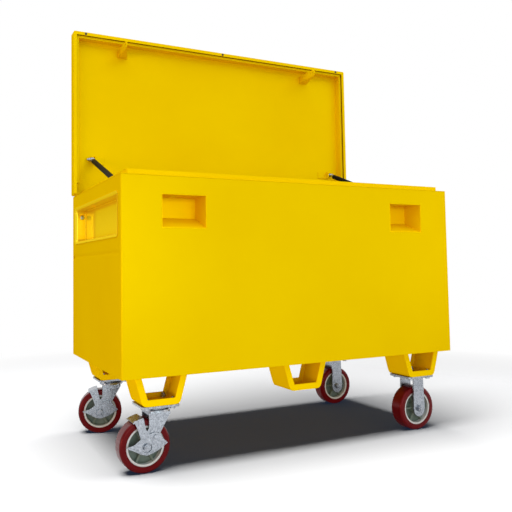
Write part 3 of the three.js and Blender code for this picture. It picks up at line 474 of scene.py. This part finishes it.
for side in ("left", "right"):
    formed(f"{side}_strut_rod", bright_zinc)
    formed(f"{side}_strut_bolt", bright_zinc)
    deselect()
    bpy.ops.mesh.primitive_cylinder_add(vertices=32, radius=tube_radius, depth=tube_to - tube_from,
                                        location=(0, 0, -(tube_from + tube_to) / 2))
    tube = bpy.context.object
    tube.name = f"{side}_strut_cylinder_tube"
    bpy.ops.object.transform_apply(location=True, rotation=True, scale=True)
    choose(tube, "FACE", lambda spot, facing: abs(facing.z) > 0.9)
    bpy.ops.mesh.bevel(offset=tube_roll, segments=5)
    choose(tube, "FACE", lambda spot, facing: facing.z < -0.9)
    bpy.ops.mesh.inset(thickness=tube_radius - tube_roll - gland_radius + gland_rim)
    bpy.ops.mesh.extrude_region_move(TRANSFORM_OT_translate={"value": (0, 0, gland_depth)})
    bpy.ops.object.mode_set(mode="OBJECT")
    finish_mesh(tube, gloss_black)
    along_strut(tube, side)
    deselect()
    bpy.ops.mesh.primitive_cylinder_add(vertices=32, radius=eye_radius, depth=eye_thickness,
                                        rotation=(0, math.pi / 2, 0), location=(0, 0, 0))
    eye = bpy.context.object
    eye.name = f"{side}_strut_eye"
    bpy.ops.object.transform_apply(location=True, rotation=True, scale=True)
    choose(eye, "FACE", lambda spot, facing: abs(facing.x) > 0.9)
    bpy.ops.mesh.bevel(offset=eye_edge, segments=3)
    bpy.ops.object.mode_set(mode="OBJECT")
    bpy.ops.mesh.primitive_cylinder_add(vertices=24, radius=neck_radius, depth=tube_from,
                                        location=(0, 0, -tube_from / 2 - neck_start))
    neck = bpy.context.object
    bpy.ops.object.transform_apply(location=True, rotation=True, scale=True)
    eye.select_set(True)
    bpy.context.view_layer.objects.active = eye
    bpy.ops.object.join()
    finish_mesh(eye, bright_zinc)
    along_strut(eye, side)

# Casters: forks pressed from plate and zinc plated, bolted under the corner legs.
# The left pair swivels on a ball race under its top plate and has brake levers, and the right pair is rigid.
swivel_corners, rigid_corners = ("front_left", "rear_left"), ("front_right", "rear_right")
all_corners = swivel_corners + rigid_corners
rigid_width_share, rigid_end_share = 50 / 42, 28.5 / 21
fork_top, fork_half_width, fork_inside = 0.182, 0.022, 0.028
end_starts, hub_reach = 0.008, 0.012


def widen_fork(fork, corner):
    """Widens a rigid fork's two sides to their pressed width and lengthens their ends below the axle."""
    axle = Vector(joint_named(f"{corner}_wheel_spin")["pos_m"])

    def on_side(spot):
        return (spot.z < fork_top and abs(spot.x - axle.x) < fork_half_width
                and abs(spot.y - axle.y) > fork_inside)

    choose(fork, "VERT", lambda spot, facing: on_side(spot) and spot.z < axle.z - end_starts)
    bpy.ops.transform.resize(value=(1, 1, rigid_end_share), center_override=axle)
    choose(fork, "VERT", lambda spot, facing: on_side(spot) and (spot - axle).xz.length > hub_reach)
    bpy.ops.transform.resize(value=(rigid_width_share, 1, 1), center_override=axle)


for corner in swivel_corners:
    formed(f"{corner}_fork", bright_zinc, edge=0.001)
for corner in rigid_corners:
    formed(f"{corner}_fork", bright_zinc, edge=0.001, shape=lambda fork: widen_fork(fork, corner))
for corner in all_corners:
    formed(f"{corner}_axle", bright_zinc)
for corner in swivel_corners:
    formed(f"{corner}_caster_plate", bright_zinc)
    formed(f"{corner}_brake_lever", bright_zinc, edge=0.0009)

# Wheels: cast iron centres with six ribs and a pale rim, each with a maroon tread moulded round it; the rim is
# lighter than the casting partly in its own tone and partly as painted highlight.
# The castings are painted grey green, the polyurethane is glossy, and each wheel runs on its axle bolt.
# One wheel is modelled about the Y axis and copied on to the four axles.
casting = Finish("grey_green_casting", Roughness=0.5, metallic=0.1)
casting.feed("Base Color", casting.mix(casting.noise(30.0), (0.09, 0.13, 0.11, 1), (0.19, 0.24, 0.21, 1)))
casting.bump(casting.noise(260.0), 0.4, 0.0006)
# The rim's pale grey is partly its own tone and partly a painted highlight for the light its face catches.
rim_tone_painted_highlight = Finish("pale_rim_painted_highlight", Roughness=0.42, metallic=0.2)
rim_tone_painted_highlight.feed("Base Color", rim_tone_painted_highlight.mix(rim_tone_painted_highlight.noise(40.0), (0.56, 0.60, 0.64, 1), (0.70, 0.74, 0.78, 1)))
polyurethane = Finish("maroon_polyurethane", Specular_IOR_Level=0.35, Specular_Tint=(1.0, 0.25, 0.25, 1))
polyurethane.feed("Base Color", polyurethane.mix(polyurethane.noise(25.0), (0.085, 0.002, 0.004, 1),
                                                 (0.115, 0.003, 0.006, 1)))
polyurethane.feed("Roughness", 0.16 + polyurethane.noise(60.0) * 0.16)
tread_radius, tread_inner, tread_half = 0.0762, 0.0575, 0.0254
shoulder_radius, rim_edge = 0.009, 0.001
rim_inner, rim_half, rim_lap = 0.0512, 0.023, 0.0008
boss_radius, boss_foot, boss_half, bore_radius = 0.018, 0.021, 0.0278, 0.0066
web_thickness, web_cove = 0.007, 0.004
rib_thickness, rib_half, rib_count, rib_edge = 0.007, 0.0184, 6, 0.0012
rib_end_shares = (1, 0.86, 0.8)
wheel_steps = 96


def spun_ring(name, inner, outer, half_width, eased):
    """A ring about the Y axis whose outer shoulders are rounded."""
    deselect()
    middle = (inner + outer) / 2
    bpy.ops.mesh.primitive_plane_add(size=1, location=(middle, 0, 0))
    ring = bpy.context.object
    ring.name = name
    ring.scale = (outer - inner, half_width * 2, 1)
    bpy.ops.object.transform_apply(location=True, rotation=True, scale=True)
    choose(ring, "VERT", lambda spot, facing: spot.x > middle)
    bpy.ops.mesh.bevel(offset=eased, segments=8, affect="VERTICES")
    bpy.ops.mesh.select_all(action="SELECT")
    bpy.ops.mesh.delete(type="ONLY_FACE")
    bpy.ops.mesh.select_all(action="SELECT")
    bpy.ops.mesh.spin(steps=wheel_steps, angle=math.tau, center=(0, 0, 0), axis=(0, 1, 0))
    settle(ring)
    return ring


def cast_centre():
    """The web with its bosses and bore, and six ribs a side joined to it."""
    deselect()
    web_radius = rim_inner + rim_lap
    bpy.ops.mesh.primitive_cylinder_add(vertices=wheel_steps, radius=web_radius, depth=web_thickness,
                                        rotation=(math.pi / 2, 0, 0))
    centre = bpy.context.object
    centre.name = "wheel_centre"
    bpy.ops.object.transform_apply(location=True, rotation=True, scale=True)
    for side in (-1, 1):
        choose(centre, "FACE", lambda spot, facing: facing.y * side > 0.9)
        bpy.ops.mesh.extrude_region_move(TRANSFORM_OT_translate={"value": (0, side * web_cove, 0)})
        bpy.ops.mesh.inset(thickness=web_cove)
        bpy.ops.transform.translate(value=(0, -side * web_cove, 0))
        bpy.ops.mesh.inset(thickness=web_radius - web_cove - boss_foot)
        boss_height = boss_half - web_thickness / 2
        bpy.ops.mesh.extrude_region_move(TRANSFORM_OT_translate={"value": (0, side * boss_height, 0)})
        bpy.ops.transform.resize(value=(boss_radius / boss_foot, 1, boss_radius / boss_foot))
        bpy.ops.mesh.inset(thickness=boss_radius - bore_radius)
    choose(centre, "FACE", lambda spot, facing: abs(spot.y) > boss_half - hair and spot.xz.length < hair)
    bpy.ops.mesh.bridge_edge_loops()
    settle(centre)
    rib_from, rib_to = boss_radius / 2 + bore_radius / 2, web_radius
    bpy.ops.mesh.primitive_cube_add(size=1, location=((rib_from + rib_to) / 2, 0, 0))
    rib = bpy.context.object
    rib.scale = (rib_to - rib_from, rib_half * 2, rib_thickness)
    bpy.ops.object.transform_apply(location=True, rotation=True, scale=True)
    choose(rib, "FACE", lambda spot, facing: facing.x > 0.9)
    bpy.ops.transform.resize(value=rib_end_shares)
    bpy.ops.object.mode_set(mode="OBJECT")
    ease_edges(rib, rib_edge, 3)
    pick(rib)
    for turn in range(1, rib_count):
        bpy.ops.object.duplicate()
        bpy.ops.transform.rotate(value=math.tau / rib_count, orient_axis="Y", center_override=(0, 0, 0))
        bpy.ops.object.transform_apply(location=True, rotation=True, scale=True)
        bpy.context.object.name = f"wheel_rib_{turn}"
    for turn in range(1, rib_count):
        bpy.data.objects[f"wheel_rib_{turn}"].select_set(True)
    rib.select_set(True)
    centre.select_set(True)
    bpy.context.view_layer.objects.active = centre
    bpy.ops.object.join()
    return centre


def on_wheel(pattern, corner, part):
    """A copy of a wheel piece, turned and moved on to one caster's axle."""
    spin = joint_named(f"{corner}_wheel_spin")
    pick(pattern)
    bpy.ops.object.duplicate()
    piece = bpy.context.object
    piece.name = f"{corner}_{pattern.name}"
    turn = Vector((0, 1, 0)).rotation_difference(Vector(spin["axis"]))
    piece.matrix_world = Matrix.Translation(spin["pos_m"]) @ turn.to_matrix().to_4x4()
    bpy.ops.object.transform_apply(location=True, rotation=True, scale=True)
    place_in_part(piece, spin["child"], f"{corner}_{part}")


wheel_tread = spun_ring("tread_ring", tread_inner, tread_radius, tread_half, shoulder_radius)
finish_mesh(wheel_tread, polyurethane)
wheel_rim = spun_ring("rim_ring", rim_inner, tread_inner, rim_half, rim_edge)
finish_mesh(wheel_rim, rim_tone_painted_highlight)
wheel_centre = cast_centre()
finish_mesh(wheel_centre, casting, smooth_angle=40)
for corner in all_corners:
    on_wheel(wheel_tread, corner, "tread")
    on_wheel(wheel_rim, corner, "hub")
    on_wheel(wheel_centre, corner, "hub")
for pattern in (wheel_tread, wheel_rim, wheel_centre):
    bpy.data.objects.remove(pattern)

# Photographer's floor: a wide dark grey sheet under the wheels that keeps the box's shadow.
# It is lit to the white of the backdrop all round by a wash of its own and fades into it far behind the box; it
# also glows faintly blue of itself, and to the box it glows warm as painted bounce light.
deselect()
bpy.ops.mesh.primitive_plane_add(size=30.0, location=(0, 0, 0))
floor = bpy.context.object
floor.name = "studio_floor"
# Painted light: the floor glows faintly blue of itself, which cools the grey of its shadow.
floor_finish = Finish("studio_floor", Roughness=1.0, Specular_IOR_Level=0.0, Base_Color=(0.1, 0.1, 0.1, 1),
                      Emission_Color=(0.0, 0.4, 1.0, 1), Emission_Strength=0.03)
seen = floor_finish.ray("Camera") + floor_finish.ray("Glossy")
distance = floor_finish.node("ShaderNodeVectorMath", {"operation": "LENGTH"}, {0: floor_finish.place}, "Value")
far = floor_finish.ramp(distance * 0.2, 0.3, 0.5)
white = floor_finish.node("ShaderNodeEmission", {}, {"Color": (1, 1, 1, 1), "Strength": 1.0})
lit_sheet = Wire(floor_finish, floor_finish.shader.outputs[0])
# Painted light: to all but camera and glossy rays the floor glows warm, lighting the box from below though it is
# no lamp.
painted_bounce_glow = floor_finish.node("ShaderNodeEmission", {}, {"Color": (0.5, 0.39, 0.27, 1), "Strength": 1.0})
shown_floor = floor_finish.mix_shaders(far, lit_sheet, white)
floor_finish.show(floor_finish.mix_shaders(seen, painted_bounce_glow, shown_floor), "Material Output")
floor.data.materials.append(floor_finish.material)

# Studio light: a pale room all round, and one large sheet of light over the box for its tops and lid.
# A soft key stands in front, warm fills on both sides and a low one for the legs, each a rectangle.
# The floor has its own wash from above, so its shadow can be set apart from the light on the box.
world = bpy.data.worlds.new("pale_room")
bpy.context.scene.world = world
world.use_nodes = True
sky = Nodes(world.node_tree)
backdrop = sky.node("ShaderNodeBackground", {}, {"Color": (1, 1, 1, 1), "Strength": 1.0})
room = sky.node("ShaderNodeBackground", {}, {"Color": (0.35, 0.28, 0.2, 1), "Strength": 1.0})
seen_directly = sky.ray("Camera").math("MAXIMUM", sky.ray("Glossy"))
sky.show(sky.mix_shaders(seen_directly, room, backdrop), "World Output")


def softbox(name, place, target, size, watts, colour):
    """A rectangle of light that faces a target and isn't seen itself."""
    bpy.ops.object.light_add(type="AREA", location=place)
    lamp = bpy.context.object
    lamp.name = name
    lamp.data.shape = "RECTANGLE"
    lamp.data.size, lamp.data.size_y = size
    lamp.data.energy = watts
    lamp.data.color = colour
    aim = Vector(target) - Vector(place)
    lamp.rotation_euler = aim.to_track_quat("-Z", "Y").to_euler()
    lamp.visible_camera = False
    return lamp


def light_only(lamp, names):
    lit = bpy.data.collections.new(lamp.name + "_pieces")
    for name in names:
        lit.objects.link(bpy.data.objects[name])
    lamp.light_linking.receiver_collection = lit


overhead = softbox("overhead", (0, 0, 4.0), (0, 0, 0), (9.0, 9.0), 310, (1, 1, 1))
key = softbox("front_key", (-0.6, -4.0, 0.8), (0, 0, 0.6), (2.6, 1.4), 36, (0.86, 1, 1))
left_fill = softbox("left_fill", (-4.0, -2.1, 0.4), (-0.3, 0, 0.4), (2.0, 0.8), 34, (1, 0.62, 0.4))
right_fill = softbox("right_fill", (4.0, -2.1, 0.8), (0.3, 0, 0.6), (2.0, 1.2), 14, (1, 0.85, 0.7))
low_fill = softbox("low_fill", (-2.6, -2.0, 0.12), (0, -0.2, 0.2), (1.6, 0.3), 32, (1, 0.78, 0.5))
pan_glint = softbox("pan_glint", (0.28, -3.6, 1.05), (-0.6, 0.25, 0.74), (0.8, 0.7), 60, (1, 1, 0.9))
pocket_fill = softbox("pocket_fill", (-0.5, -4.0, 1.0), (0, 0, 0.74), (1.6, 0.8), 36, (1, 0.95, 0.8))
floor_wash = softbox("floor_wash", (-0.7, -0.25, 4.0), (-0.7, -0.25, 0), (3.8, 2.5), 2600, (1, 1, 1))
light_only(low_fill, [f"{row}_{column}_leg_formed" for row in ("front", "rear")
                      for column in ("left", "middle", "right")])
light_only(pan_glint, ["left_pressed_recess", "right_pressed_recess"])
light_only(pocket_fill, ["left_lock_pocket_formed", "right_lock_pocket_formed"])
light_only(floor_wash, [floor.name])
all_but_floor = bpy.data.collections.new("all_but_floor")
all_but_floor.objects.link(floor)
all_but_floor.collection_objects[0].light_linking.link_state = "EXCLUDE"
for lamp in (overhead, key, left_fill, right_fill):
    lamp.light_linking.receiver_collection = all_but_floor

# Camera where the photograph was taken from, worked out from eight corners of the body in it.
# Its frame is shifted a little, as the photograph was cropped round the box.
camera_data = bpy.data.cameras.new("photo_camera")
camera = bpy.data.objects.new("photo_camera", camera_data)
bpy.context.scene.collection.objects.link(camera)
camera_place = (-1.0907, -1.9146, 0.5749)
yaw, pitch, roll = 0.434, 0.055, -0.013
focal_pixels, frame_pixels = 601.39, 512
centre_across, centre_down = 207.3, 236.4
ahead = Vector((math.sin(yaw) * math.cos(pitch), math.cos(yaw) * math.cos(pitch), math.sin(pitch)))
level_right = Vector((math.cos(yaw), -math.sin(yaw), 0))
level_up = level_right.cross(ahead)
right = math.cos(roll) * level_right + math.sin(roll) * level_up
up = -math.sin(roll) * level_right + math.cos(roll) * level_up
orientation = Matrix((right, up, -ahead)).transposed().to_4x4()
camera.matrix_world = Matrix.Translation(camera_place) @ orientation
camera_data.sensor_width = 36
camera_data.lens = focal_pixels / frame_pixels * camera_data.sensor_width
camera_data.shift_x = (frame_pixels / 2 - centre_across) / frame_pixels
camera_data.shift_y = -(frame_pixels / 2 - centre_down) / frame_pixels
camera_data.clip_start = 0.01
camera_data.clip_end = 100
bpy.context.scene.camera = camera
bpy.context.scene.view_settings.view_transform = "Standard"
